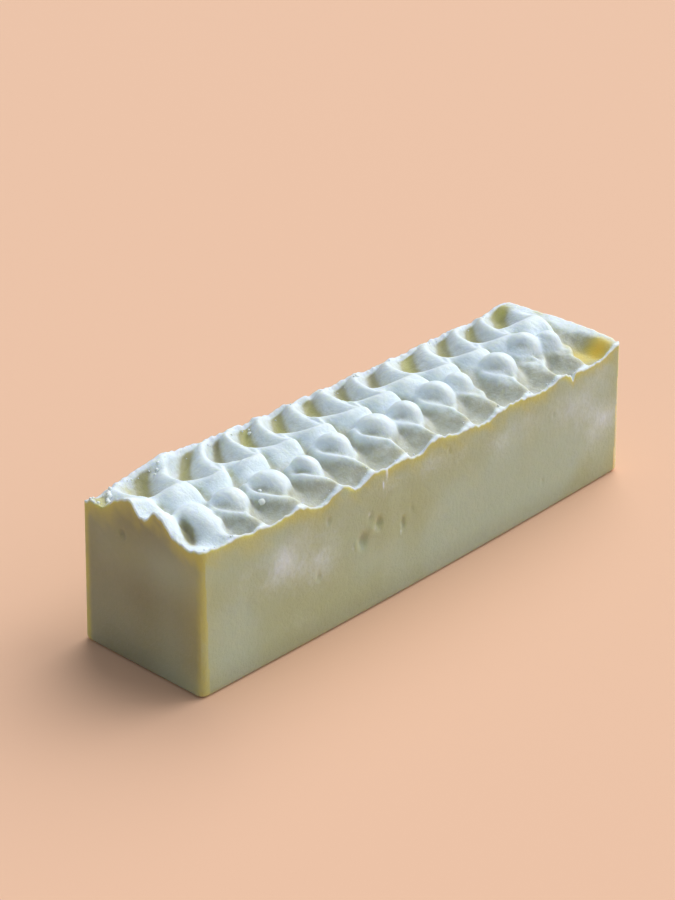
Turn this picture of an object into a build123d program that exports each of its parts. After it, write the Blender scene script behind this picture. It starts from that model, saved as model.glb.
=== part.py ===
"""An uncut loaf of handmade soap: one cast block, its open top worked with a spoon."""
from build123d import *
import os
from math import ceil, cos, pi, sin

# Driving dimensions, millimetres.  X runs along the loaf, Y across it, Z up.
# The origin is the middle of the base.
BASE_LENGTH = 254.0
BASE_WIDTH = 65.1       # at the ends of the long sides
RIM_HEIGHT = 61.9       # where the straight sides meet the worked top
END_LEAN = 1.95         # each end leans in by this much from base to rim
SIDE_LEAN = 0.55        # each long side leans in by this much from base to rim
BASE_BOW = 1.6          # the long sides bulge outward at mid-length, at the base
RIM_BOW = 0.9           # and at the rim
CORNER_RADIUS = 3.0     # upright corners
BASE_EDGE_RADIUS = 2.0  # edge round the base

# The worked top: one row of spoon strokes across the loaf, each leaving a wave whose
# steep side faces +X.  Between two waves a trough runs from rim to rim, deepest near them.
CROWN = 6.8             # the wave crests stand this far above the rim on the centre line
STROKE_PITCH = 19.4
LAST_CREST = 25.0       # from the last crest's foot, at the near rim, to the +X end
CENTRE_HOLLOW = 2.6     # depth of a trough on the centre line
NEAR_HOLLOW = 4.0       # extra depth of a trough near the -Y rim
FAR_HOLLOW = 5.0        # and near the +Y rim
HOLLOW_INSET = 8.5      # the deepest places lie this far in from the rims
HOLLOW_SPREAD = 7.0     # half-width of a deep place, across the loaf
CREST_LEAN = 3.0        # a crest runs this far towards +X from a rim to the centre, evenly,
CREST_SWEEP = 6.9       # and this much more of it close to the rim
WAVE_TILT = 0.8         # 0 is an even wave, 1 has a nearly upright side
WAVE_PINCH = 0.25       # narrows the crests against the troughs
CREST_DRIFT = 0.4       # the crests rise and fall by this much along the loaf
DRIFT_LENGTH = 107.0    # over this length
END_LIP = 7.0           # the waves die out into a flat lip this wide at the +X end
END_CROWN = 2.4         # crown left on that lip

# The grid of points that carries the surface of the top.
GRID_STEP = 2.0
GRID_MARGIN = 3.0       # how far the surface overshoots the block
GRID_TOLERANCE = 0.05

RIM_LENGTH = BASE_LENGTH - 2 * END_LEAN
RIM_WIDTH = BASE_WIDTH - 2 * SIDE_LEAN
BLOCK_TOP = RIM_HEIGHT + CROWN + CREST_DRIFT + GRID_MARGIN


def ease(value):
    """Go smoothly from 0 to 1 as value goes from 0 to 1, and stay there."""
    value = min(max(value, 0.0), 1.0)
    return value * value * (3.0 - 2.0 * value)


def trough_depth(y, rim_y):
    """Depth of a trough below its crests at y, with the rims at plus and minus rim_y."""
    near = (y + rim_y - HOLLOW_INSET) / HOLLOW_SPREAD
    far = (rim_y - HOLLOW_INSET - y) / HOLLOW_SPREAD
    return CENTRE_HOLLOW + NEAR_HOLLOW / (1.0 + near**4) + FAR_HOLLOW / (1.0 + far**4)


def wave(x, across):
    """0 on a crest and 1 in a trough; across goes from -1 at the near rim to 1 at the far one."""
    foot = BASE_LENGTH / 2 - LAST_CREST
    lean = CREST_LEAN * (1.0 + across) + CREST_SWEEP * (1.0 + across**3)
    angle = 2.0 * pi * (x - foot - lean) / STROKE_PITCH
    skewed = angle + WAVE_TILT * (1.0 - cos(angle)) + WAVE_PINCH * sin(angle)
    return (1.0 - cos(skewed)) / 2.0


def top_height(x, y):
    """Height of the worked top above the base."""
    rim_y = RIM_WIDTH / 2 + RIM_BOW
    across = y / rim_y
    open_top = ease((RIM_LENGTH / 2 - x) / END_LIP - 0.4)   # 0 on the end lip
    crown = END_CROWN + (CROWN - END_CROWN) * open_top
    drift = CREST_DRIFT * sin(2.0 * pi * x / DRIFT_LENGTH) * open_top
    crest = RIM_HEIGHT + crown * (1.0 - across**2) + drift
    return crest - trough_depth(y, rim_y) * wave(x, across) * open_top


def outline(length, width, bow):
    """The loaf's plan: straight ends, long sides bowed outward, rounded corners."""
    end_x = length / 2
    side_y = width / 2
    with BuildSketch() as plan:
        with BuildLine():
            ThreePointArc((-end_x, -side_y), (0, -side_y - bow), (end_x, -side_y))
            Line((end_x, -side_y), (end_x, side_y))
            ThreePointArc((end_x, side_y), (0, side_y + bow), (-end_x, side_y))
            Line((-end_x, side_y), (-end_x, -side_y))
        make_face()
        fillet(plan.vertices(), CORNER_RADIUS)
    return plan.sketch


def worked_top():
    """One smooth surface over the whole block, through the waves left by the spoon."""
    reach_x = BASE_LENGTH / 2 + GRID_MARGIN
    reach_y = BASE_WIDTH / 2 + BASE_BOW + GRID_MARGIN
    steps_x = ceil(2 * reach_x / GRID_STEP)
    steps_y = ceil(2 * reach_y / GRID_STEP)
    points = []
    for column in range(steps_x + 1):
        x = -reach_x + 2 * reach_x * column / steps_x
        heights = []
        for row in range(steps_y + 1):
            y = -reach_y + 2 * reach_y * row / steps_y
            heights.append(Vector(x, y, top_height(x, y)))
        points.append(heights)
    return Face.make_surface_from_array_of_points(points, tol=GRID_TOLERANCE, min_deg=3, max_deg=3)


# The sides keep their slope up to the top of the uncut block.
slope = BLOCK_TOP / RIM_HEIGHT
block_length = BASE_LENGTH - 2 * END_LEAN * slope
block_width = BASE_WIDTH - 2 * SIDE_LEAN * slope
block_bow = BASE_BOW + (RIM_BOW - BASE_BOW) * slope

base_outline = outline(BASE_LENGTH, BASE_WIDTH, BASE_BOW)
block_outline = outline(block_length, block_width, block_bow)
top_surface = worked_top()

with BuildPart() as soap_loaf:
    with BuildSketch(Plane.XY):
        add(base_outline)
    with BuildSketch(Plane.XY.offset(BLOCK_TOP)):
        add(block_outline)
    loft(ruled=True)
    fillet(soap_loaf.faces().sort_by(Axis.Z)[0].edges(), BASE_EDGE_RADIUS)
    split(bisect_by=top_surface, keep=Keep.BOTTOM)

soap_loaf.part.label = "soap_loaf"

os.makedirs("parts", exist_ok=True)
export_step(soap_loaf.part, "parts/soap_loaf.step")

size = soap_loaf.part.bounding_box().size
print(f"size {size.X:.1f} x {size.Y:.1f} x {size.Z:.1f} mm, volume {soap_loaf.part.volume:.0f} mm3")
print("valid:", soap_loaf.part.is_valid)
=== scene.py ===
"""The look of a loaf of handmade soap: its spoon-worked, ash-whitened top and its translucent body."""
import math

import bmesh
import bpy
import numpy as np
from mathutils import Matrix, Vector


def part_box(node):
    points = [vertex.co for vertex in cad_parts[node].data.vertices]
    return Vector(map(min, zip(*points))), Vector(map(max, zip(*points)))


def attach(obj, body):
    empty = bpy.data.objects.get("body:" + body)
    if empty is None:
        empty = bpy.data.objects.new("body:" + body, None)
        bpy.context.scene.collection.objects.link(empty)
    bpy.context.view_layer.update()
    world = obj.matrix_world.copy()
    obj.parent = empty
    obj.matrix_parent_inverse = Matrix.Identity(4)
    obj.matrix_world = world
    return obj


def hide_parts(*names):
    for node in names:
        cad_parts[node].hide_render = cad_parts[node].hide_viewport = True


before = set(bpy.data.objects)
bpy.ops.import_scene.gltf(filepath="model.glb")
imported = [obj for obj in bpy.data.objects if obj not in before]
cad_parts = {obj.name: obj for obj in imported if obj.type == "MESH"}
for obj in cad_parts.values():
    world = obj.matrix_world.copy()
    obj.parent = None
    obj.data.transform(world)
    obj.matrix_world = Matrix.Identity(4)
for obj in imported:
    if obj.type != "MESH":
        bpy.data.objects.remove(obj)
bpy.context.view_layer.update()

MM = 0.001

# ---------------------------------------------------------------- the loaf's own sizes, in mm

LOW, HIGH = (np.array(corner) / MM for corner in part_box("soap_loaf"))
BASE_LENGTH = HIGH[0] - LOW[0]
BASE_BOW = 1.6          # the long sides bulge outward at mid-length
RIM_BOW = 0.9
BASE_WIDTH = HIGH[1] - LOW[1] - 2 * BASE_BOW
END_LEAN = 1.95         # the ends and sides lean in by this much from base to rim
SIDE_LEAN = 0.55
RIM_HEIGHT = 61.9
CORNER_RADIUS = 3.0
BASE_EDGE_RADIUS = 2.0
RIM_LENGTH = BASE_LENGTH - 2 * END_LEAN
RIM_WIDTH = BASE_WIDTH - 2 * SIDE_LEAN

# ---------------------------------------------------------------- the spoon strokes

# Where each crest lies along X, at five places across the loaf: the near rim, the near
# row's rounded heads, the middle, the far hollows' near ends, and the far rim.
CREST_Y = (-32.5, -12.0, 0.0, 12.0, 32.5)
ROW_EDGE = CREST_Y[-1]  # the rows across the loaf run from -ROW_EDGE to ROW_EDGE
CRESTS = (
    (-146, -137, -135, -133, -129),
    (-126, -118, -116, -114, -111),
    (-105, -100, -97, -95, -82),
    (-91, -87, -80, -75, -61),
    (-71, -66, -61, -57, -50),
    (-51, -47, -43, -41, -31),
    (-33, -26, -24, -21, -13),
    (-13, -5, -3, -1, 5),
    (6, 13, 14, 15, 25),
    (26, 34, 33, 36, 44),
    (45, 49, 52, 58, 70),
    (64, 72, 72, 78, 90),
    (83, 93, 93, 96, 107),
    (102, 109, 113, 118, 129),
    (124, 131, 134, 138, 147),
)
# Between those places: at TAIL_Y a crest lies this far toward -X from its place on the near rim, at NECK_Y
# it is this share of the way from there to the head, and at WING_Y this share of the way from the far
# hollow's near end to the far rim.
TAIL_Y, TAIL_BACK = -26.0, 1.8
NECK_Y, NECK_SHARE = -20.0, 0.5
WING_Y, WING_SHARE = 21.0, 0.3
# How far the edge of each stroke's far hollow slants toward the near side, end to end.
HOLLOW_SLANT = (0, -3, 6, 7, 6, 11, 9, 4, 1, 7, 6, 5, 0, 2)
HOLLOW_SHIFT = (0, 1, 0, 0, 0, 0, 0, 0, 2, 0, 0, 0, 3, 0)   # and how far it lies toward the far side
SLANT_PIVOT = 0.25      # the slant turns round this share of the stroke's length
JUNCTION_Y, JUNCTION_REACH = 8.0, 9.0   # the slant is strongest here and fades out over this far to each side
CORNER_STROKE = 13      # this stroke stays a plain hollow in the near right corner,
CORNER_ALONG = 0.15     # with the height it has at this share of its length,
CORNER_Y, CORNER_FADE = -13.0, 8.0      # and becomes a full stroke over this far from here

# The round domes at the near ends of the strokes: X, Y, radius, height of the top, strength of the dimple.
DOMES = (
    (-108.5, -11.0, 8.2, 68.8, 0.0),
    (-109.0, -16.8, 7.0, 67.6, 0.0),
    (-91.6, -13.1, 7.8, 69.4, 0.9),
    (-72.1, -14.3, 9.0, 69.6, 1.3),
    (-53.7, -15.4, 6.5, 68.9, 1.6),
    (-33.7, -11.1, 7.7, 69.8, 1.5),
    (-10.4, -12.4, 9.0, 69.8, 1.6),
    (6.2, -13.0, 7.4, 69.8, 1.4),
    (27.8, -10.7, 8.3, 69.9, 1.4),
    (42.5, -10.0, 6.5, 68.6, 0.8),
    (66.6, -11.6, 8.2, 69.8, 1.3),
    (88.9, -7.0, 7.7, 69.8, 1.0),
    (99.5, -11.5, 6.0, 68.6, 0.6),
)
DOME_BLEND = 1.6        # how softly a dome runs into what is round it
DOME_SINK = 0.48        # blending in a dome lowers the whole top by up to half of this
SKIRT_DROP, SKIRT_REACH = 3.0, 3.0      # outside its circle a dome goes on down this steeply and this far
DIMPLE_DEPTH = 2.0      # how deep a dimple of strength 1 is
DIMPLE_LEAN = (-0.58, -0.32)    # where on its dome a dimple lies, in radii
DIMPLE_ALONG, DIMPLE_ACROSS = 0.25, 0.72        # its half size in that direction and across it, in radii

# The fold of soap that runs round the near side of each dimpled dome and down to the near rim:
# places in radii from the dome's middle, then where it meets the rim, and the height at each.
FOLD = ((-0.78, 0.66), (-1.07, -0.08), (-0.88, -0.64), (-0.48, -1.14))
FOLD_FOOT_Y, FOLD_END_Y = -27.0, -31.5
FOLD_HEIGHTS = (63.8, 64.1, 63.9, 63.3, 62.1, 59.6)
FULL_DIMPLE = 1.6       # a fold has its full height beside a dimple of this strength,
FOLD_DROP = 1.6         # and is this much lower for each unit the dimple lacks
FOLD_STEPS = 48         # points along a fold
FOLD_BREADTH = 1.6      # a fold falls off as the square of the distance divided by this
FOLD_BLEND = 0.9        # how softly a fold runs into what is round it

# Single marks pressed into or raised on the top: X, Y, rise, half length, half width.
MARKS = (
    (-118.2, -19.5, -3.6, 2.4, 3.6),
    (-115.6, -13.5, -3.2, 1.5, 3.6),
    (98.0, -21.0, -0.8, 3.0, 3.0),
    (104.5, -5.0, -2.6, 4.0, 2.6),
    (-90.5, 27.0, -1.6, 2.6, 1.6),
    (-122.0, 22.5, -1.3, 3.0, 2.6),
    (-117.5, 26.5, 1.1, 1.6, 1.3),
    (-113.5, 29.0, 0.8, 1.2, 0.9),
    (-72.5, 3.5, -0.9, 4.5, 0.8),
    (-70.0, 0.8, -0.7, 3.2, 0.6),
    (-74.0, 6.0, 0.5, 3.5, 0.7),
    (-61.0, -15.0, -1.5, 2.2, 3.4),
    (-55.0, -14.0, 0.8, 2.4, 3.0),
    (76.0, -2.5, -1.2, 3.0, 1.4),
    (17.5, -3.0, -1.4, 3.0, 3.0),
    (-17.5, -4.0, -1.2, 3.5, 3.0),
    (58.0, -1.0, -1.0, 3.0, 4.0),
    (-52.0, 0.0, -1.4, 3.5, 5.0),
    (-90.0, 1.0, -1.0, 4.0, 5.0),
)

# The shape of one stroke, as heights in mm above the base, before the domes lower it by 2.1 to 2.5 mm.
# Each row is one place across the loaf; along a row the heights go from the foot of one crest to the top
# of the next.
ALONG = (0.05, 0.2, 0.35, 0.5, 0.65, 0.8, 0.92, 1.0)
STROKE = (
    (-32.5, (61.6, 61.6, 61.6, 61.6, 61.6, 61.6, 61.6, 61.6)),
    (-31.0, (60.0, 59.4, 59.0, 59.2, 60.0, 61.2, 62.0, 61.8)),
    (-28.5, (57.6, 57.2, 57.2, 57.6, 58.8, 60.8, 62.3, 62.0)),
    (-25.0, (56.4, 56.6, 57.2, 58.6, 60.9, 63.0, 63.7, 62.9)),
    (-22.5, (56.6, 57.0, 58.6, 60.9, 63.0, 64.0, 64.3, 63.5)),
    (-20.0, (56.8, 57.4, 60.2, 63.2, 64.3, 64.0, 64.2, 63.7)),
    (-17.0, (57.2, 58.6, 62.4, 64.2, 63.6, 62.9, 63.4, 63.2)),
    (-14.5, (58.0, 60.2, 63.4, 63.0, 62.2, 62.2, 62.6, 62.4)),
    (-12.0, (59.4, 61.2, 63.0, 62.6, 62.6, 62.8, 62.8, 62.6)),
    (-10.0, (60.8, 61.8, 62.8, 63.0, 63.0, 63.1, 63.1, 62.9)),
    (-8.0, (62.0, 62.6, 63.2, 63.6, 63.9, 64.1, 64.1, 63.8)),
    (-6.0, (62.4, 63.0, 64.0, 64.8, 65.5, 65.9, 66.0, 65.6)),
    (-3.5, (62.9, 63.8, 65.6, 66.8, 67.6, 68.0, 68.1, 67.5)),
    (0.0, (64.0, 65.0, 67.4, 68.9, 69.4, 69.6, 69.4, 68.4)),
    (3.0, (64.8, 66.0, 68.0, 69.1, 69.4, 69.4, 69.1, 68.0)),
    (6.0, (65.8, 66.8, 67.4, 67.4, 67.0, 67.6, 68.2, 67.4)),
    (9.0, (66.0, 65.4, 64.4, 63.6, 64.0, 66.0, 67.2, 66.6)),
    (12.0, (63.4, 61.2, 60.2, 60.8, 63.0, 65.6, 66.5, 65.9)),
    (16.0, (60.2, 58.2, 58.2, 59.8, 62.4, 65.0, 65.9, 65.2)),
    (20.0, (59.8, 57.8, 57.2, 58.6, 61.4, 64.2, 65.1, 64.5)),
    (24.0, (60.6, 58.4, 56.9, 57.6, 60.2, 63.2, 64.3, 63.8)),
    (28.0, (61.8, 60.0, 57.8, 57.2, 59.2, 62.2, 63.5, 63.2)),
    (30.8, (62.2, 61.2, 59.6, 58.6, 59.3, 61.2, 62.5, 62.5)),
    (32.5, (61.6, 61.6, 61.6, 61.6, 61.6, 61.6, 61.6, 61.6)),
)
STEEP_WIDTH = 2.2       # how far along X a crest's steep side reaches
NET_RIM = 61.6          # the net's own height along both rims

# The rims' own heights: along the near and far sides by X, lowered by the domes like the rest, and over the
# -X end by its row across the loaf.
NEAR_RIM = (
    (-127, 60.6), (-124, 61.1), (-114, 62.7), (-99, 62.2), (-90, 61.4), (-81, 61.6), (-73, 61.9),
    (-64, 58.9), (-56, 60.2), (-49, 61.6), (-44, 58.8), (-38, 59.9), (-31, 61.6), (-20, 61.2), (-8, 60.3),
    (2, 62.3), (12, 61.2), (22, 60.6), (34, 58.9), (44, 60.6), (52, 61.6), (61, 60.6), (69, 59.9),
    (78, 60.6), (87, 61.5), (89.6, 59.8), (90.6, 57.2), (91.6, 59.6), (94.5, 60.4), (99, 59.4),
    (107, 60.3), (115, 61.4), (122, 61.9), (127, 61.6),
)
FAR_RIM = (
    (-127, 58.6), (-124, 59.0), (-117, 60.2), (-109.5, 61.6), (-103, 62.6), (-97.2, 64.1), (-90, 64.9),
    (-82.7, 65.3), (-76, 64.0), (-70.7, 64.0), (-65, 62.7), (-58.5, 63.0), (-52, 62.3), (-46, 62.9),
    (-39, 61.9), (-32.9, 62.4), (-24, 61.4), (-16.4, 61.9), (-10, 61.2), (-5.9, 61.5), (0, 61.2),
    (6.7, 61.3), (15, 60.8), (24.1, 61.5), (33, 60.7), (40, 60.4), (47.5, 61.0), (55, 60.6), (63.3, 61.1),
    (70, 60.9), (77.6, 61.3), (88.9, 62.0), (97, 61.4), (106.8, 61.5), (113, 62.2), (119.1, 63.0),
    (127, 61.8),
)
LEFT_END = (
    (-32.5, 61.0), (-29, 60.9), (-25.3, 60.1), (-20.3, 61.1), (-15.3, 64.4), (-12.5, 67.0), (-9.9, 68.8),
    (-7.8, 68.9), (-6.0, 67.0), (-4.2, 64.7), (-1.8, 64.0), (0.6, 64.3), (2.6, 66.0), (4.2, 68.2),
    (6.0, 69.0), (9.0, 68.6), (12, 67.0), (15.5, 64.8), (18.5, 62.0), (21.7, 60.2), (24, 60.6),
    (27, 61.5), (30, 60.2), (32.5, 58.4),
)
# How far in from the near side, the far side and the -X end these heights reach.
NEAR_REACH, FAR_REACH, LEFT_REACH = 5.0, 7.0, 15.0

# The top comes down to a narrow flat lip along the +X end.
LIP_WIDTH = 12.0        # how far from the end the top's own shape begins
LIP_SLOPE = 8.5         # the width of the slope between that and the lip
LIP_HEIGHT = 61.3       # at the lip's two ends
LIP_CROWN = 1.4         # and how much higher it is at mid-width

# Noises on the top: seed, size of the bumps in mm, strength in mm.
CRUST = ((21, 5.5, 0.4), (22, 2.4, 0.5), (23, 1.3, 0.5))
CRUST_EDGE, CRUST_FADE = 0.6, 2.2       # the crust is full this near the rim, and fades out over this far
CALM_SHARE = 0.6        # toward the +X end this share of the crust is left out
CALM_X, CALM_FADE, CALM_Y = 105.0, 8.0, -28.0   # past CALM_X, fading in over CALM_FADE, and beyond CALM_Y
RIPPLE = ((24, 9.0, 0.16), (25, 3.2, 0.09))
CREASES = ((26, 1.6, 0.10),)            # fine ones, drawn out across the loaf at a slant
CREASE_SHEAR, CREASE_SQUEEZE = 0.5, 0.3


# ---------------------------------------------------------------- smooth curves and noises

def ease(value):
    """Go smoothly from 0 to 1 as value goes from 0 to 1, and stay there."""
    value = np.clip(value, 0.0, 1.0)
    return value * value * (3.0 - 2.0 * value)


def blob(x, y, middle_x, middle_y, half_x, half_y):
    """An oval spot: 1 at its middle, falling smoothly toward 0 around it."""
    return np.exp(-((x - middle_x) / half_x) ** 2 - ((y - middle_y) / half_y) ** 2)


def smooth_max(first, second, blend, sink=0.0):
    """The higher of the two, rounded over where they cross, and lowered by half of sink."""
    return (first + second + np.sqrt((first - second) ** 2 + blend**2) - sink) / 2


def pick(table, index):
    """One value from each row of the table's last axis."""
    return np.take_along_axis(table, index[..., None], -1)[..., 0]


def find_span(places, at):
    """Which two neighbouring places each value lies between, its share of the way, and their distance."""
    at = np.clip(at, places[0], places[-1])
    span = np.clip(np.searchsorted(places, at, side="right") - 1, 0, len(places) - 2)
    width = places[span + 1] - places[span]
    return span, (at - places[span]) / width, width


def cubic(share, width, start, end, start_slope, end_slope):
    """A curve from start to end with the given slopes; share goes from 0 to 1 over the width."""
    h00 = (1 + 2 * share) * (1 - share) ** 2
    h10 = share * (1 - share) ** 2
    h01 = share**2 * (3 - 2 * share)
    h11 = share**2 * (share - 1)
    return h00 * start + h10 * width * start_slope + h01 * end + h11 * width * end_slope


def through(places, values, at):
    """A smooth curve through the values at the given places, read off at `at`.
    Where values has columns, each column is a curve of its own."""
    places = np.asarray(places, float)
    values = np.asarray(values, float)
    slopes = np.gradient(values, places, axis=0)
    span, share, width = find_span(places, at)
    if values.ndim > 1:
        share, width = share[..., None], width[..., None]
    return cubic(share, width, values[span], values[span + 1], slopes[span], slopes[span + 1])


NOISE_VALUES = 4096     # a power of two, so that a bit mask wraps round it
NOISE_PRIMES = (73856093, 19349663)     # they mix a cell's column and row


class Noise:
    """Smooth random values over a plane, the same on every run."""

    def __init__(self, seed):
        self.table = np.random.default_rng(seed).uniform(-1.0, 1.0, NOISE_VALUES)

    def _corner(self, column, row):
        mixed = (column * NOISE_PRIMES[0]) ^ (row * NOISE_PRIMES[1])
        return self.table[mixed & (NOISE_VALUES - 1)]

    def plane(self, x, y, size):
        x, y = x / size, y / size
        column, row = np.floor(x).astype(np.int64), np.floor(y).astype(np.int64)
        across, up = ease(x - column), ease(y - row)
        low = self._corner(column, row) * (1 - across) + self._corner(column + 1, row) * across
        high = self._corner(column, row + 1) * (1 - across) + self._corner(column + 1, row + 1) * across
        return low * (1 - up) + high * up


def layered(layers, x, y):
    """Add up noises, each given as seed, size of its bumps and strength."""
    return sum(strength * Noise(seed).plane(x, y, size) for seed, size, strength in layers)


# ---------------------------------------------------------------- the shape of the top

def half_width(x):
    """Half of the width between the rims, at each x from the loaf's middle."""
    return RIM_WIDTH / 2 + RIM_BOW * (1 - np.clip(2 * x / BASE_LENGTH, -1, 1) ** 2)


def crest_lines(y):
    """The place along X of every crest, for each y."""
    near, head, middle, junction, far = np.array(CRESTS, float).T
    tail = near - TAIL_BACK
    neck = near + NECK_SHARE * (head - near)
    wing = junction + WING_SHARE * (far - junction)
    places = (CREST_Y[0], TAIL_Y, NECK_Y, CREST_Y[1], CREST_Y[2], CREST_Y[3], WING_Y, CREST_Y[4])
    return through(places, np.array([near, tail, neck, head, middle, junction, wing, far]), y)


def find_stroke(x, y):
    """Which stroke each point is in, how far past that stroke's first crest, and the stroke's length."""
    lines = crest_lines(y)
    number = np.clip((lines <= x[..., None]).sum(-1) - 1, 0, len(CRESTS) - 2)
    start, end = pick(lines, number), pick(lines, number + 1)
    return number, x - start, end - start


def net_height(along, y):
    """Height of the stroke's shape, `along` from 0 at one crest to 1 at the next."""
    rows, heights = zip(*STROKE)
    by_row = through(rows, heights, y)
    columns = np.asarray(ALONG)
    slopes = np.gradient(by_row, columns, axis=-1)
    span, share, width = find_span(columns, along)
    return cubic(share, width, pick(by_row, span), pick(by_row, span + 1),
                 pick(slopes, span), pick(slopes, span + 1))


def profile(stations, at):
    """Read off a table of places and heights."""
    places, heights = zip(*stations)
    return through(places, heights, at)


def rims(x, row, height):
    """Carry the height over into the rims and the two ends."""
    near, far = row + ROW_EDGE, ROW_EDGE - row
    height = height + (profile(NEAR_RIM, x) - NET_RIM) * (1 - ease(near / NEAR_REACH))
    height = height + (profile(FAR_RIM, x) - NET_RIM) * (1 - ease(far / FAR_REACH))
    left = x + RIM_LENGTH / 2
    share = 1 - ease(left / LEFT_REACH)
    height = height + (profile(LEFT_END, row) - height) * share
    inside = RIM_LENGTH / 2 - x
    lip = LIP_HEIGHT + LIP_CROWN * (1 - (row / ROW_EDGE) ** 2)
    return lip + (height - lip) * ease((inside - LIP_WIDTH + LIP_SLOPE) / LIP_SLOPE)


def dimple_mark(x, y, dome):
    """How much each point lies in a dome's dimple, from 0 to 1."""
    dome_x, dome_y, radius = dome[:3]
    toward_x, toward_y = DIMPLE_LEAN
    length = math.hypot(toward_x, toward_y)
    dx, dy = x - dome_x - toward_x * radius, y - dome_y - toward_y * radius
    outward = (dx * toward_x + dy * toward_y) / length
    sideways = (dx * toward_y - dy * toward_x) / length
    return np.exp(-(outward / (DIMPLE_ALONG * radius)) ** 2 - (sideways / (DIMPLE_ACROSS * radius)) ** 2)


def raise_domes(x, y, height):
    for dome in DOMES:
        dome_x, dome_y, radius, top, dimple = dome
        reach = ((x - dome_x) ** 2 + (y - dome_y) ** 2) / radius**2
        ball = top - radius + radius * np.sqrt(np.clip(1 - reach, 0, None))
        ball -= SKIRT_DROP * np.clip(reach - 1, 0, SKIRT_REACH)
        ball -= DIMPLE_DEPTH * dimple * dimple_mark(x, y, dome)
        height = smooth_max(height, ball, DOME_BLEND, DOME_SINK)
    return height


def fold_path(dome):
    """Points along the ridge of a dome's fold: X, Y and height."""
    dome_x, dome_y, radius = dome[:3]
    crest = next(crest for crest in CRESTS if crest[1] > dome_x)
    places = [(dome_x + right * radius, dome_y + back * radius) for right, back in FOLD]
    places += [(crest[0] - TAIL_BACK, FOLD_FOOT_Y), (crest[0], FOLD_END_Y)]
    stops = np.linspace(0, len(places) - 1, FOLD_STEPS)
    return through(range(len(places)), np.column_stack([places, FOLD_HEIGHTS]), stops)


def raise_folds(x, y, height):
    fold = np.zeros_like(height)
    for dome in DOMES:
        dimple = dome[-1]
        if dimple > 0:
            lower = FOLD_DROP * (FULL_DIMPLE - dimple)
            for fold_x, fold_y, top in fold_path(dome):
                distance_squared = (x - fold_x) ** 2 + (y - fold_y) ** 2
                fold = np.maximum(fold, top - lower - distance_squared / FOLD_BREADTH)
    return smooth_max(height, fold, FOLD_BLEND)


def top_height(x, y):
    """Height of the worked top, for arrays of points."""
    row = np.clip(y / half_width(x), -1, 1) * ROW_EDGE
    number, past, length = find_stroke(x, row)
    along = past / length
    corner = CORNER_ALONG + (1 - CORNER_ALONG) * ease((row - CORNER_Y) / CORNER_FADE)
    along = np.minimum(along, np.where(number == CORNER_STROKE, corner, 1.0))
    junction = np.exp(-((row - JUNCTION_Y) / JUNCTION_REACH) ** 4)
    slant = np.array(HOLLOW_SLANT, float)[number] * (along - SLANT_PIVOT)
    slant -= np.array(HOLLOW_SHIFT, float)[number]
    height = net_height(along, row + junction * slant)
    crest = net_height(np.ones_like(along), row)
    height = crest + (height - crest) * ease(past / STEEP_WIDTH)
    height = raise_folds(x, y, raise_domes(x, y, height))
    for mark_x, mark_y, rise, half_length, half_breadth in MARKS:
        height += rise * blob(x, y, mark_x, mark_y, half_length, half_breadth)
    height = rims(x, row, height)
    edge = np.minimum(ROW_EDGE - np.abs(row), RIM_LENGTH / 2 - np.abs(x))
    calm = 1 - CALM_SHARE * ease((x - CALM_X) / CALM_FADE) * (row > CALM_Y)
    crust = calm * layered(CRUST, x, y) * (1 - ease((edge - CRUST_EDGE) / CRUST_FADE))
    creases = layered(CREASES, x + CREASE_SHEAR * y, CREASE_SQUEEZE * y)
    return height + crust + (layered(RIPPLE, x, y) + creases)


def soften(heights):
    """Round off the sharpest edges of a grid of heights."""
    for axis in (0, 1):
        low = np.take(heights, [0, *range(heights.shape[axis] - 1)], axis)
        high = np.take(heights, [*range(1, heights.shape[axis]), heights.shape[axis] - 1], axis)
        heights = (low + 2 * heights + high) / 4
    return heights


# ---------------------------------------------------------------- the walls

def round_corner(a, b):
    """Map a unit square onto a quarter disc."""
    return a * np.sqrt(1 - b * b / 2), b * np.sqrt(1 - a * a / 2)


def outline_point(u, v, height):
    """Plan position of a grid point; u and v go from -1 to 1 over the loaf's length and width."""
    rise = np.clip(height / RIM_HEIGHT, 0, None)
    length = BASE_LENGTH - 2 * END_LEAN * rise
    width = BASE_WIDTH - 2 * SIDE_LEAN * rise
    bow = BASE_BOW + (RIM_BOW - BASE_BOW) * rise
    x, y = u * length / 2, v * width / 2
    inner_x, inner_y = length / 2 - CORNER_RADIUS, width / 2 - CORNER_RADIUS
    corner = (np.abs(x) > inner_x) & (np.abs(y) > inner_y)
    a = np.clip((np.abs(x) - inner_x) / CORNER_RADIUS, 0, 1)
    b = np.clip((np.abs(y) - inner_y) / CORNER_RADIUS, 0, 1)
    a, b = round_corner(a, b)
    x = np.where(corner, np.sign(u) * (inner_x + a * CORNER_RADIUS), x)
    y = np.where(corner, np.sign(v) * (inner_y + b * CORNER_RADIUS), y)
    y = y * (1 + bow * (1 - (2 * x / length) ** 2) / (width / 2))
    return x, y


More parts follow.
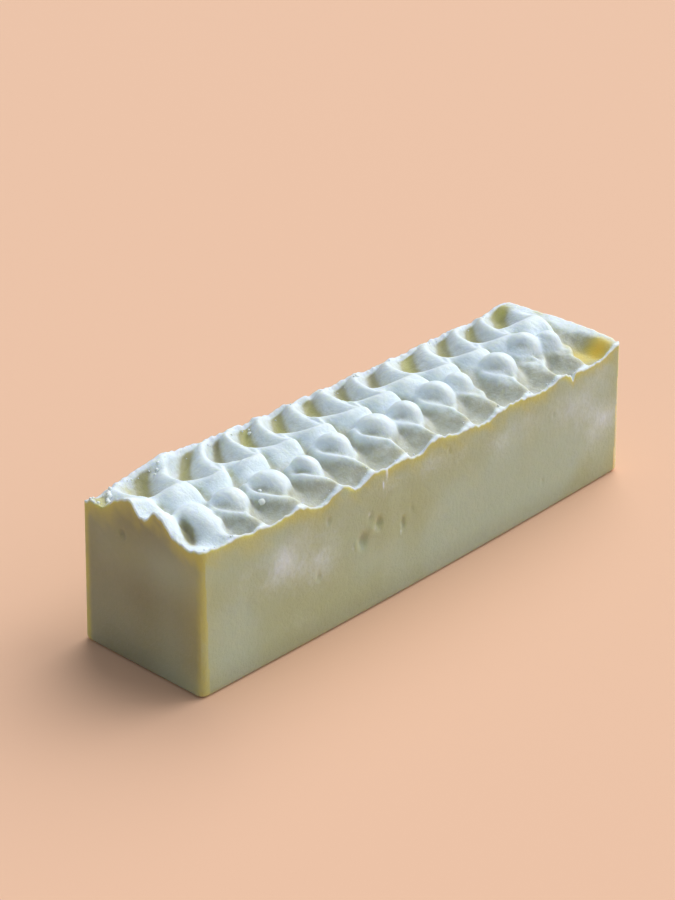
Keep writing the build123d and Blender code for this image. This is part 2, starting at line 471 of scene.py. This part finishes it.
# Pits in the near long side, and two small rises in them: X, Z, half length, half height, depth.
PITS = (
    (-40, 32, 2.6, 3.2, 1.5), (-31, 36.5, 1.8, 2.4, 1.2), (-17, 31, 1.3, 2.6, 0.8), (-36, 41, 1.6, 1.3, 0.5),
    (-65, 27, 1.3, 1.6, 0.6), (-59, 48, 1.2, 1.6, 0.6), (-35.5, 35.5, 1.4, 1.2, -0.5),
    (-44, 31.5, 1.2, 1.5, -0.5), (-12, 35, 1.2, 1.8, 0.4), (78, 44, 1.0, 1.0, 0.5), (71.5, 15, 1.0, 1.2, 0.5),
    (10.7, 52, 1.0, 1.2, 0.5),
)
END_PIT = (9.2, 54.0, 1.6, 1.3, 1.0)    # in the -X end: Y, Z, half width, half height, depth
UNEVEN = ((31, 22.0, 0.12), (32, 6.0, 0.05))    # the near side's own noise: seed, size, strength
UNEVEN_TOP, UNEVEN_FADE = 60.0, 8.0     # it fades out toward this height


def dent(along, z, pit):
    """How far a pit reaches in at each point of a side."""
    middle_along, middle_z, length, height, depth = pit
    return depth * np.exp(-((((along - middle_along) / length) ** 2 + ((z - middle_z) / height) ** 2) ** 1.5))


def pitted(x, y, z, on_near, on_end):
    """Press the pits and the unevenness into the near long side and the -X end."""
    for pit in PITS:
        y = y + on_near * dent(x, z, pit)
    uneven = layered(UNEVEN, x, z) * ease((UNEVEN_TOP - z) / UNEVEN_FADE)
    return x + on_end * dent(y, z, END_PIT), y + on_near * uneven


def wall_ring(u, v, rim_z, share):
    """Points all the way round the walls, share of the way down from the rim to the base's edge."""
    z = rim_z + (BASE_EDGE_RADIUS - rim_z) * share
    x, y = outline_point(u, v, z)
    x, y = pitted(x, y, z, v == -1, u == -1)
    return np.stack([x, y, z], -1)


def edge_ring(u, v, share):
    """Points all the way round the rounded edge of the base, share of the way down it."""
    turn = share * math.pi / 2
    z = np.full_like(u, BASE_EDGE_RADIUS * (1 - math.sin(turn)))
    x, y = outline_point(u, v, z)
    inset = BASE_EDGE_RADIUS * (1 - math.cos(turn))
    return np.stack([x * (1 - inset / (BASE_LENGTH / 2)), y * (1 - inset / (BASE_WIDTH / 2)), z], -1)


# ---------------------------------------------------------------- where ash, painted glow and painted shade show

DEEP_Z, DEEP_FADE = 65.0, 5.0           # the top counts as deep below this height, fully so this much lower
FAR_Y, FAR_FADE = 8.0, 6.0              # where across the loaf the far hollows begin
# The groove in each far hollow: its place along the stroke at GROOVE_Y, how much that grows
# with each mm farther across, and its half width.
GROOVE_ALONG, GROOVE_Y, GROOVE_SLANT, GROOVE_HALF = 0.30, 12, 0.014, 0.15
# How strongly each stroke's far hollow is painted with the yellow glow of light shining through the thin far
# wall.
HOLLOW_GLOW = (0.5, 0.3, 0.35, 0.1, 0.7, 0.55, 0.5, 0.3, 0.1, 0.7, 0.4, 0.5, 0.6, 1.0)
# Where light shines through thin soap near the corners: X, Y, half length, half width, strength.
GLOW_SPOTS = (
    (116.5, -25.5, 5.5, 5.5, 1.0), (110.0, -22.0, 6.0, 7.0, 0.55), (117.0, 28.5, 5.0, 3.5, 1.0),
    (-123.0, 26.0, 4.0, 5.0, 0.35), (-124.5, 16.0, 2.0, 4.0, 0.15), (-106.0, 27.0, 3.0, 3.0, 0.4),
)
SADDLE = (0.10, 1.0, 0.20, 6.0)         # thin ash past each crest: place along and across, half sizes
SLOT_X, SLOT_Y, SLOT_SLANT = -117.0, -17.0, 0.45    # the dark slot beside the first dome, and its lean
SLOT_HALF_X, SLOT_HALF_Y = 2.2, 6.0
WHITE_CORNER = (-116.0, -26.0, 10.0, 7.0)           # thick ash in the near left corner
ASH_EDGE, ASH_EDGE_FADE = 31.9, 2.0     # the rims keep their ash from this far across the loaf
YELLOW_INSET = 1.5                      # the yellow takes no ash this near the rims
# How much of the ash is lost in the far hollows, their grooves, and so on.
LOSS_FAR, LOSS_GROOVE, LOSS_NEAR, LOSS_DIMPLE, LOSS_SADDLE = 0.35, 0.6, 0.62, 0.45, 0.3
LOSS_YELLOW, LOSS_SLOT, WHITE_CORNER_GAIN = 0.75, 0.9, 0.6
SHADE_GROOVE, SHADE_DIMPLE, SHADE_SLOT = 0.8, 0.5, 0.8


def top_masks(x, y, z):
    """How strongly ash, painted yellow glow, the olive of the low parts darkened as painted shade, painted
    shade and painted amber glow show at each point of the top.
    """
    row = np.clip(y / half_width(x), -1, 1) * ROW_EDGE
    number, past, length = find_stroke(x, row)
    along = past / length
    deep = ease((DEEP_Z - z) / DEEP_FADE)
    far = ease((row - FAR_Y) / FAR_FADE)
    groove = np.exp(-((along - GROOVE_ALONG - GROOVE_SLANT * (row - GROOVE_Y)) / GROOVE_HALF) ** 2)
    # Painted glow: yellow where light shines through the thin far wall into the far hollows, and through thin
    # soap near the corners.
    yellow = far * groove * deep * np.array(HOLLOW_GLOW)[number]
    shining = np.zeros_like(x)
    for spot_x, spot_y, half_length, half_breadth, strength in GLOW_SPOTS:
        spot = strength * blob(x, y, spot_x, spot_y, half_length, half_breadth)
        shining = np.maximum(shining, spot)
    yellow = np.maximum(yellow, shining)
    # Only the near right corner gets the painted amber glow of light shining through thin soap.
    amber_glow = np.where((x > 0) & (y < 0), shining, 0)
    dimple = sum(dimple_mark(x, y, dome) * min(1.0, dome[-1]) for dome in DOMES)
    saddle = blob(along, row, *SADDLE)
    slot = blob(x - SLOT_SLANT * (y - SLOT_Y), y, SLOT_X, SLOT_Y, SLOT_HALF_X, SLOT_HALF_Y)
    loss = np.where(row > 0, LOSS_FAR + LOSS_GROOVE * groove, LOSS_NEAR)
    bloom = 1 - deep * loss * ease((ASH_EDGE - np.abs(row)) / ASH_EDGE_FADE)
    inset = np.minimum(RIM_WIDTH / 2 + RIM_BOW - np.abs(y), RIM_LENGTH / 2 - np.abs(x))
    bloom = bloom - LOSS_DIMPLE * dimple - LOSS_SADDLE * saddle - LOSS_YELLOW * yellow * (inset > YELLOW_INSET)
    bloom = bloom + WHITE_CORNER_GAIN * blob(x, y, *WHITE_CORNER) - LOSS_SLOT * slot
    shade = SHADE_GROOVE * far * groove * deep * (1 - shining) + SHADE_DIMPLE * dimple + SHADE_SLOT * slot
    return {"bloom": bloom, "glow": yellow, "deep": deep, "shade": shade, "amber_glow": amber_glow}


# Pale patches on the long sides: X, Z, half length, half height, strength.
PATCHES = (
    (-86, 40, 24, 13, 0.38), (-62, 32, 12, 16, 0.24), (112, 34, 26, 24, 0.40), (60, 42, 26, 12, 0.20),
    (10, 30, 30, 14, 0.12), (-8, 50, 46, 7, 0.24), (62, 47, 34, 8, 0.12), (-36.5, 42, 0.8, 1.2, 0.6),
    (-33.5, 34.5, 0.9, 2.0, 0.4), (-46, 31, 1.0, 1.6, 0.4), (-26.5, 57, 0.5, 3.0, 0.7),
    (-28.5, 52, 0.4, 1.6, 0.6), (-18.5, 27.5, 0.6, 1.2, 0.4),
)
FAR_PATCHES = 0.35                      # the patches are this strong on the far long side
CLOUDS = ((11, 14.0, 0.5), (12, 5.0, 0.2))      # how uneven they are: noises as for the top
RAGGED = ((5, 7.0, 1.0), (6, 2.5, 0.5))         # how uneven the bands of ash and yellow are
END_ZONE = 4.0                          # a wall point this near an end, in X, is on that end,
END_INSET = 1.2                         # and shaded as the end's if it is this far from the long sides
RIM_ASH, RIM_ASH_DEPTH, RIM_ASH_RAGGED = 0.8, 0.6, 0.35     # ash just under the rim
# The yellow band under the rim: how far down it goes, how ragged that is, its least, and
# the place along X where it goes deeper, over what half length and by how much.
BAND_DEPTH, BAND_RAGGED, BAND_LEAST = 3.6, 2.4, 1.2
BAND_X, BAND_HALF_X, BAND_EXTRA = -105.0, 28.0, 3.5
BAND_WAVES = ((7, 16.0, 1.8),)
# The painted glow of light shining through thin soap down the upright edges: strength, width and raggedness of
# its line and of the glow beside it.
LINE, LINE_WIDTH, LINE_RAGGED, BESIDE, BESIDE_WIDTH = 0.6, 1.6, 0.5, 0.3, 9.0
FAR_LEFT, FAR_LEFT_WIDTH = 1.6, 3.6     # the far left edge has more of this painted glow
AMBER_WIDTH, AMBER_HIGHLIGHT = 1.5, 0.5       # the right end's upright edges get a painted amber glow and a whitish painted highlight
END_SHADE, END_CLOUDS = 0.57, ((13, 16.0, 0.25),)
FOOT_SHADE, FOOT_HEIGHT = 0.3, 14.0     # the long sides darken toward the base


def side_patches(x, z):
    """How much thin ash lies on the sides."""
    total = np.zeros_like(x)
    for patch_x, patch_z, length, height, strength in PATCHES:
        total += strength * blob(x, z, patch_x, patch_z, length, height)
    return total * (1 + layered(CLOUDS, x, z))


def wall_masks(x, y, z, drop):
    """The same masks for the walls; drop is how far each point lies below the rim."""
    ragged = layered(RAGGED, x + z, y - z)
    by_end = np.abs(x) > BASE_LENGTH / 2 - END_ZONE
    right = x > 0
    upright = np.where(by_end, RIM_WIDTH / 2 - np.abs(y), BASE_LENGTH / 2 - np.abs(x))
    # Painted amber glow and a whitish painted highlight down the right end's upright edges.
    amber = np.exp(-(upright / AMBER_WIDTH) ** 2)
    bloom = RIM_ASH * np.exp(-(drop / (RIM_ASH_DEPTH + RIM_ASH_RAGGED * ragged)) ** 2)
    bloom = np.maximum(bloom, np.where(y < 0, 1.0, FAR_PATCHES) * ~by_end * side_patches(x, z))
    bloom = np.where(right, np.maximum(bloom, AMBER_HIGHLIGHT * amber), bloom)
    thick = BAND_DEPTH + BAND_RAGGED * ragged + layered(BAND_WAVES, x, y)
    thick += BAND_EXTRA * np.exp(-((x - BAND_X) / BAND_HALF_X) ** 2)
    band = np.exp(-(drop / np.clip(thick, BAND_LEAST, None)) ** 2)
    # Painted glow of light shining through the thin soap down the upright edges.
    corner = LINE * np.exp(-(upright / (LINE_WIDTH + LINE_RAGGED * ragged)) ** 2)
    corner += BESIDE * np.exp(-(upright / BESIDE_WIDTH) ** 2)
    corner = np.where(~right & (y > 0), FAR_LEFT * np.exp(-(upright / FAR_LEFT_WIDTH) ** 4), corner)
    on_end = by_end & (np.abs(y) < BASE_WIDTH / 2 - END_INSET)
    shade = np.where(on_end, END_SHADE + layered(END_CLOUDS, y, z), FOOT_SHADE * (1 - ease(z / FOOT_HEIGHT)))
    return {"bloom": bloom, "glow": band + corner, "deep": np.zeros_like(x), "shade": shade,
            "amber_glow": np.where(right, amber, 0)}


# ---------------------------------------------------------------- the meshes

GRID_X, GRID_Y, GRID_Z = 420, 110, 44   # cells along the top, across it, and down the walls
EDGE_STEPS = 4                          # rings of faces round the base's rounded edge


def add_object(name, data):
    """Put a new object with this data into the scene."""
    thing = bpy.data.objects.new(name, data)
    bpy.context.scene.collection.objects.link(thing)
    return thing


def build_loaf():
    u, v = np.meshgrid(np.linspace(-1, 1, GRID_X + 1), np.linspace(-1, 1, GRID_Y + 1), indexing="ij")
    x, y = outline_point(u, v, RIM_HEIGHT)
    z = soften(top_height(x, y))
    x, y = outline_point(u, v, z)
    top = np.stack([x, y, z], -1).reshape(-1, 3)
    index = np.arange(len(top)).reshape(z.shape)
    faces = [np.stack([index[:-1, :-1], index[1:, :-1], index[1:, 1:], index[:-1, 1:]], -1).reshape(-1, 4)]

    # Rings of points hang below the rim, and the last one is the outline of the flat base.
    ring = np.concatenate([index[:-1, 0], index[-1, :-1], index[:0:-1, -1], index[0, :0:-1]])
    rim_u, rim_v, rim_z = (grid.reshape(-1)[ring] for grid in (u, v, z))
    rings = [wall_ring(rim_u, rim_v, rim_z, step / GRID_Z) for step in range(1, GRID_Z + 1)]
    rings += [edge_ring(rim_u, rim_v, step / EDGE_STEPS) for step in range(1, EDGE_STEPS + 1)]
    above = ring
    for number in range(len(rings)):
        below = len(top) + number * len(ring) + np.arange(len(ring))
        faces.append(np.stack([above, below, np.roll(below, -1), np.roll(above, -1)], -1))
        above = below
    base = above[::-1]
    walls = np.concatenate(rings)

    mesh = bpy.data.meshes.new("soap_body")
    points = np.concatenate([top, walls])
    mesh.from_pydata((points * MM).tolist(), [], [*np.concatenate(faces).tolist(), base.tolist()])
    mesh.shade_smooth()
    of_top = top_masks(*top.T)
    of_walls = wall_masks(*walls.T, np.tile(rim_z, len(rings)) - walls[:, 2])
    for name in of_top:
        values = np.clip(np.concatenate([of_top[name], of_walls[name]]), 0, 1)
        mesh.attributes.new(name, "FLOAT", "POINT").data.foreach_set("value", values.astype(np.float32))
    return add_object("soap_body", mesh)


loaf = build_loaf()
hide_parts("soap_loaf")
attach(loaf, "root")

# Loose balls and crumbs of ash on the top: X, Y, radius.
CRUMBS = (
    (-82.2, -20.4, 1.25), (-79.0, -16.2, 0.75), (-40.6, 27.4, 0.9), (-38.8, 29.5, 0.6), (-117.2, 25.0, 1.1),
    (-119.4, 23.2, 0.9), (-115.4, 27.2, 0.8), (-113.6, 28.6, 0.7), (-121.4, 21.2, 0.8), (-90.2, 28.0, 0.7),
    (-88.4, 29.2, 0.6), (-92.4, 26.6, 0.6), (22.4, 29.0, 0.6), (24.8, 30.2, 0.7), (-124.2, 27.5, 0.6),
    (-123.4, 24.2, 0.7), (-122.6, 20.4, 0.6), (-121.8, 28.9, 0.6), (-120.5, 19.6, 0.8), (-118.6, 24.4, 0.7),
    (-116.6, 26.2, 0.9),
)
STRAY_CRUMBS = 70       # and this many small ones along the rims,
STRAY_NEAR = 0.55       # this share of them by the near rim,
STRAY_REACH = 124       # up to this far from mid-length,
STRAY_INSET = (0.5, 2.6)        # this far in from half of RIM_WIDTH
STRAY_RADIUS = (0.2, 0.42)      # and of this radius
CRUMB_SEED = 77
CRUMB_LIFT = 0.2        # a crumb's middle is above the top by this share of its radius
CRUMB_ROUGHNESS = 0.12  # its points are off a ball by up to this share


def build_crumbs():
    draw = np.random.default_rng(CRUMB_SEED)
    spots = list(CRUMBS)
    for _ in range(STRAY_CRUMBS):
        side = -1 if draw.random() < STRAY_NEAR else 1
        x = draw.uniform(-STRAY_REACH, STRAY_REACH)
        y = side * (RIM_WIDTH / 2 - draw.uniform(*STRAY_INSET))
        spots.append((x, y, draw.uniform(*STRAY_RADIUS)))
    tool = bmesh.new()
    for x, y, radius in spots:
        z = float(top_height(np.array([x]), np.array([y]))[0])
        where = Matrix.Translation(Vector((x, y, z + CRUMB_LIFT * radius)) * MM)
        made = bmesh.ops.create_icosphere(tool, subdivisions=2, radius=radius * MM, matrix=where)
        for vertex in made["verts"]:
            vertex.co += Vector(draw.uniform(-CRUMB_ROUGHNESS, CRUMB_ROUGHNESS, 3)) * radius * MM
    mesh = bpy.data.meshes.new("ash_crumbs")
    tool.to_mesh(mesh)
    tool.free()
    mesh.shade_smooth()
    return add_object("ash_crumbs", mesh)


crumbs = build_crumbs()
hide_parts("soap_loaf")
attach(crumbs, "root")

# ---------------------------------------------------------------- the materials

OLIVE, GREEN, PALE = (0.46, 0.52, 0.33), (0.48, 0.58, 0.46), (0.54, 0.62, 0.47)    # the soap's body
# The olive of the low parts of the top, darker and browner as painted shade in the hollows.
DEEP_SHADED_OLIVE = (0.44, 0.43, 0.29)
SHADED = (0.27, 0.255, 0.15)
# The yellow and the amber are painted glow, light shining through thin soap.
YELLOW = (0.58, 0.57, 0.20)
AMBER = (0.88, 0.67, 0.12)
BLUE_WHITE, WHITE = (0.76, 0.87, 0.99), (0.84, 0.94, 1.0)      # the ash on the top
CRUMB_GREY, CRUMB_WHITE = (0.80, 0.88, 0.86), (0.92, 0.95, 0.98)
SCATTER_RADIUS, SCATTER_SCALE = (1.0, 0.92, 0.38), 0.0035      # how far light spreads in the soap, in m
SOAP_IOR = 1.45
BUMP_STRENGTH, BUMP_DISTANCE = 0.6, 0.0006
MIX_FIRST, MIX_SECOND, MIX_RESULT = 6, 7, 2     # a Mix node's sockets for colours


class Nodes:
    """A short way to add and join shader nodes."""

    def __init__(self, name):
        self.material = bpy.data.materials.new(name)
        self.material.use_nodes = True
        self.tree = self.material.node_tree
        self.shader = self.tree.nodes["Principled BSDF"]

    def join(self, socket, value):
        """Link a socket to another node's output, or set it to a number or a colour."""
        if isinstance(value, bpy.types.NodeSocket):
            self.tree.links.new(value, socket)
        else:
            socket.default_value = value

    def feed(self, node, name, value):
        self.join(node.inputs[name], value)

    def add(self, kind, **inputs):
        node = self.tree.nodes.new(kind)
        for name, value in inputs.items():
            self.feed(node, name, value)
        return node

    def noise(self, where, scale, detail=3.0, roughness=0.55):
        node = self.add("ShaderNodeTexNoise", Vector=where, Scale=scale, Detail=detail, Roughness=roughness)
        return node.outputs["Fac"]

    def spread(self, value, low, high, to_low=0.0, to_high=1.0):
        """Map low to high smoothly onto to_low to to_high."""
        node = self.add("ShaderNodeMapRange", Value=value)
        node.interpolation_type = "SMOOTHSTEP"
        for name, number in (("From Min", low), ("From Max", high), ("To Min", to_low), ("To Max", to_high)):
            self.feed(node, name, number)
        return node.outputs["Result"]

    def blend(self, share, first, second):
        """Mix two colours, each a socket or red, green and blue."""
        node = self.tree.nodes.new("ShaderNodeMix")
        node.data_type = "RGBA"
        self.feed(node, "Factor", share)
        for number, value in ((MIX_FIRST, first), (MIX_SECOND, second)):
            opaque = value if isinstance(value, bpy.types.NodeSocket) else (*value, 1.0)
            self.join(node.inputs[number], opaque)
        return node.outputs[MIX_RESULT]

    def work(self, operation, first, second):
        node = self.tree.nodes.new("ShaderNodeMath")
        node.operation = operation
        self.join(node.inputs[0], first)
        self.join(node.inputs[1], second)
        return node.outputs[0]


def soap_material():
    kit = Nodes("soap")
    where = kit.add("ShaderNodeTexCoord").outputs["Object"]

    def mask(name):
        node = kit.add("ShaderNodeAttribute")
        node.attribute_name = name
        return node.outputs["Fac"]

    broad = kit.noise(where, 18.0, 2.0)
    patch = kit.noise(where, 60.0, 4.0)
    cloud = kit.noise(where, 130.0)
    fine = kit.noise(where, 420.0, 5.0, 0.65)
    finest = kit.noise(where, 1400.0, 3.0)
    drawn = kit.add("ShaderNodeMapping", Vector=where, Scale=(1.0, 0.22, 0.5)).outputs["Vector"]
    streak = kit.noise(drawn, 650.0, 3.0)

    body = kit.blend(kit.spread(broad, 0.38, 0.62), OLIVE, GREEN)
    body = kit.blend(kit.spread(patch, 0.45, 0.75, 0.0, 0.5), body, PALE)
    # The low parts of the top turn a darker olive-brown, painted shade in the hollows; then painted shade
    # where the shade mask lies.
    body = kit.blend(mask("deep"), body, DEEP_SHADED_OLIVE)
    body = kit.blend(mask("shade"), body, SHADED)
    # Painted yellow glow of light shining through thin soap. On the walls the same mask also carries the
    # yellow band under the rim.
    glow = kit.work("MULTIPLY", mask("glow"), kit.spread(patch, 0.25, 0.6, 0.55, 1.0))
    body = kit.blend(glow, body, YELLOW)
    # Painted amber glow of light shining through thin soap, in the near right corner and down the right end's
    # upright edges.
    body = kit.blend(mask("amber_glow"), body, AMBER)

    ash = kit.work("ADD", mask("bloom"), kit.spread(fine, 0.3, 0.7, -0.06, 0.06))
    ash = kit.work("MULTIPLY", kit.spread(ash, 0.1, 0.9), kit.spread(patch, 0.2, 0.7, 0.85, 1.0))
    mottle = kit.work("MULTIPLY", kit.spread(streak, 0.35, 0.65), kit.spread(cloud, 0.35, 0.65))
    white = kit.blend(mottle, BLUE_WHITE, WHITE)

    # Grain everywhere, and streaks where there is ash.
    grain = kit.work("ADD", fine, kit.work("MULTIPLY", finest, 0.4))
    grain = kit.work("ADD", grain, kit.work("MULTIPLY", streak, kit.work("MULTIPLY", ash, 0.7)))
    bump = kit.add("ShaderNodeBump", Strength=BUMP_STRENGTH, Distance=BUMP_DISTANCE, Height=grain)

    kit.feed(kit.shader, "Base Color", kit.blend(ash, body, white))
    kit.feed(kit.shader, "Roughness", kit.spread(fine, 0.3, 0.7, 0.42, 0.62))
    kit.feed(kit.shader, "Subsurface Weight", kit.spread(ash, 0.0, 1.0, 1.0, 0.4))
    kit.feed(kit.shader, "Subsurface Radius", SCATTER_RADIUS)
    kit.feed(kit.shader, "Subsurface Scale", SCATTER_SCALE)
    kit.feed(kit.shader, "IOR", SOAP_IOR)
    kit.feed(kit.shader, "Normal", bump.outputs["Normal"])
    return kit.material


def ash_material():
    kit = Nodes("ash")
    where = kit.add("ShaderNodeTexCoord").outputs["Object"]
    grain = kit.noise(where, 900.0, 3.0)
    kit.feed(kit.shader, "Base Color", kit.blend(grain, CRUMB_GREY, CRUMB_WHITE))
    kit.feed(kit.shader, "Roughness", kit.spread(grain, 0.3, 0.7, 0.6, 0.85))
    return kit.material


loaf.data.materials.append(soap_material())
crumbs.data.materials.append(ash_material())

# ---------------------------------------------------------------- floor, light and camera

FLOOR_REACH = 4.0       # in m
FLOOR_COLOUR, FLOOR_ROUGHNESS = (0.80, 0.50, 0.345, 1), 0.9
LENS, SENSOR_WIDTH = 92.5, 36           # in mm
CAMERA_AZIMUTH, CAMERA_ELEVATION = -47.13, 26.82
CAMERA_DISTANCE = 0.9536                # in m, from the point it aims at
AIM_HEIGHT = 35.0                       # that point's height, in mm,
AIM_SHIFT = (5.91, 23.07, 0)            # and its shift from the loaf's middle, for the photo's framing
# The lights: name, azimuth, elevation, how many degrees of the sky it fills, strength.
SUNS = (("key", 99, 48, 64, 2.49), ("front", 48, 35, 60, 0.82))
SUN_COLOUR = (1.0, 0.99, 0.97)
SKY_COLOUR, SKY_STRENGTH = (0.86, 0.94, 1.0, 1), 0.35

floor_corners = [(x * FLOOR_REACH, y * FLOOR_REACH, 0) for x, y in ((-1, -1), (1, -1), (1, 1), (-1, 1))]
floor_mesh = bpy.data.meshes.new("floor")
floor_mesh.from_pydata(floor_corners, [], [(0, 1, 2, 3)])
floor = add_object("floor", floor_mesh)
floor_kit = Nodes("floor")
floor_kit.feed(floor_kit.shader, "Base Color", FLOOR_COLOUR)
floor_kit.feed(floor_kit.shader, "Roughness", FLOOR_ROUGHNESS)
floor.data.materials.append(floor_kit.material)


def look_from(azimuth, elevation):
    """The directions to the right of, above and behind a camera that looks down at the loaf."""
    a, e = math.radians(azimuth), math.radians(elevation)
    back = Vector((math.sin(a) * math.cos(e), -math.cos(a) * math.cos(e), math.sin(e)))
    right = (-back).cross(Vector((0, 0, 1))).normalized()
    return right, right.cross(-back), back


def place(thing, right, up, back, where):
    turn = Matrix((right, up, back)).transposed().to_4x4()
    thing.matrix_world = Matrix.Translation(where) @ turn


camera = add_object("camera", bpy.data.cameras.new("camera"))
camera.data.lens = LENS
camera.data.sensor_width = SENSOR_WIDTH
middle = Vector(((LOW[0] + HIGH[0]) / 2, (LOW[1] + HIGH[1]) / 2, AIM_HEIGHT)) * MM
right, up, back = look_from(CAMERA_AZIMUTH, CAMERA_ELEVATION)
place(camera, right, up, back, middle + Vector(AIM_SHIFT) * MM + back * CAMERA_DISTANCE)
bpy.context.scene.camera = camera

for name, azimuth, elevation, spread, strength in SUNS:
    sun = add_object(name, bpy.data.lights.new(name, "SUN"))
    sun.data.angle = math.radians(spread)
    sun.data.energy = strength
    sun.data.color = SUN_COLOUR
    right, up, back = look_from(azimuth, elevation)
    place(sun, right, up, back, middle + back)

world = bpy.data.worlds.new("studio")
world.use_nodes = True
world.node_tree.nodes["Background"].inputs["Color"].default_value = SKY_COLOUR
world.node_tree.nodes["Background"].inputs["Strength"].default_value = SKY_STRENGTH
bpy.context.scene.world = world
bpy.context.scene.view_settings.view_transform = "Standard"
